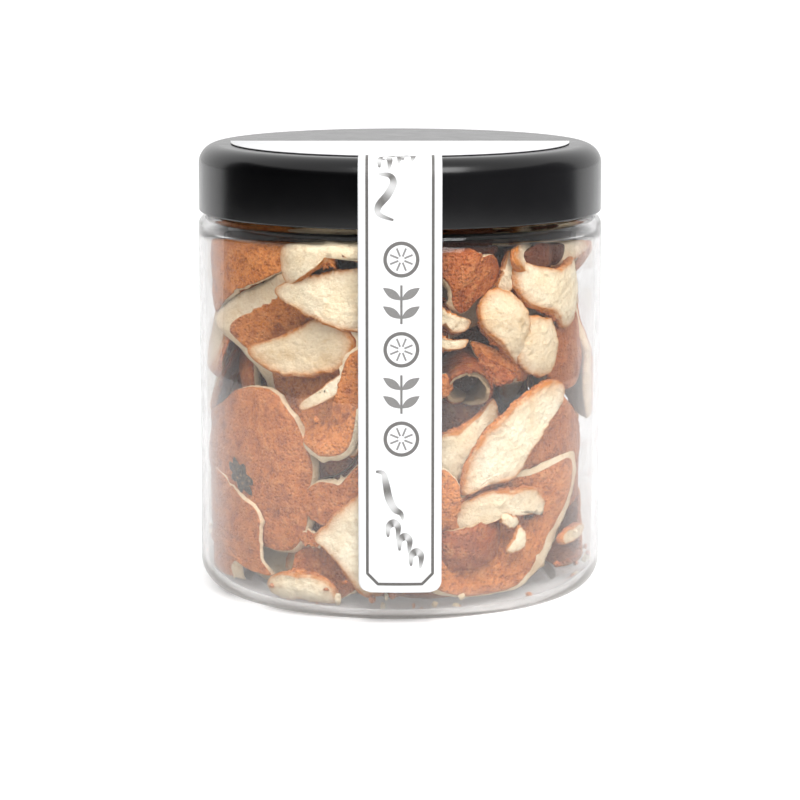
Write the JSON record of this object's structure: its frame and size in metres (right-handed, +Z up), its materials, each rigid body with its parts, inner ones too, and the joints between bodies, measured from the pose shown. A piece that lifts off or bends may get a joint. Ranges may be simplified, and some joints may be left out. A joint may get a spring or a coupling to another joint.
{
  "type": "jar of dried orange peel",
  "caption": "Straight-sided clear screw-top jar packed with dried orange peel, its black cap sealed by a white paper label that folds down the front.",
  "frame": {"origin": "centre of the plane the jar stands on, on the jar's axis", "axes": "+Z up along the jar's axis; the label faces -Y and +X is to its right"},
  "size_m": [0.092, 0.0923, 0.102],
  "materials": {
    "jar": "clear moulded plastic, slightly milky from peel dust on the inside",
    "cap": "satin black moulded plastic",
    "label": "white coated paper with a thin grey printed frame",
    "peel": "dried rind: pored orange-brown skin, cream pith inside"
  },
  "bodies": {
    "root": {"jar": "jar", "cap": "cap", "label": "label", "peel_heap": "peel"}
  },
  "joints": []
}
